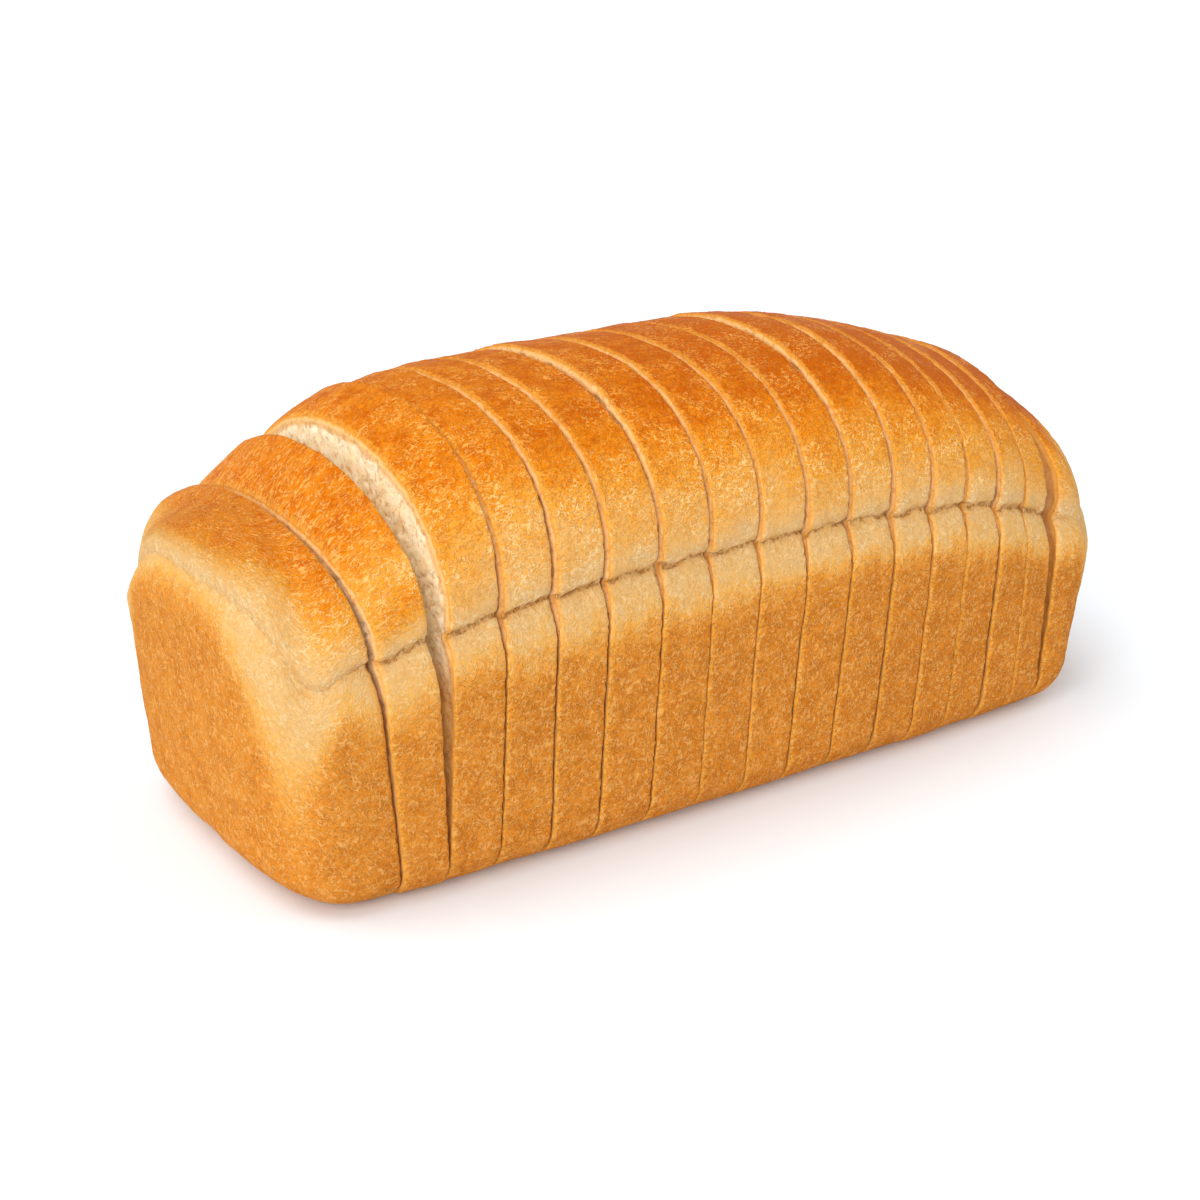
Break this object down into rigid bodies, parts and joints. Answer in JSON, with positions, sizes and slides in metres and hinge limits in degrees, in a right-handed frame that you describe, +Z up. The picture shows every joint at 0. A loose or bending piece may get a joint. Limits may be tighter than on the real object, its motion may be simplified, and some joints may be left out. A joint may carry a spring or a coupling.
{
  "type": "tin loaf",
  "caption": "Sliced white tin loaf, its browned crown domed over a crease above straight tin-baked sides, the cut slices still standing together as a loaf.",
  "frame": {"origin": "middle of the loaf's base, on the surface it stands on", "axes": "+X along the loaf from the leaning near heel to the far heel, +Z up, -Y towards the front long side"},
  "size_m": [0.2588, 0.1144, 0.1125],
  "materials": {
    "bread": "golden brown baked crust over pale cream crumb, matt with a soft broken gloss on the crown"
  },
  "bodies": {
    "root": {"heel_near": "bread", "slice_02": "bread", "slice_03": "bread", "slice_04": "bread", "slice_05": "bread", "slice_06": "bread", "slice_07": "bread", "slice_08": "bread", "slice_09": "bread", "slice_10": "bread", "slice_11": "bread", "slice_12": "bread", "slice_13": "bread", "slice_14": "bread", "slice_15": "bread", "slice_16": "bread", "heel_far": "bread"}
  },
  "joints": []
}
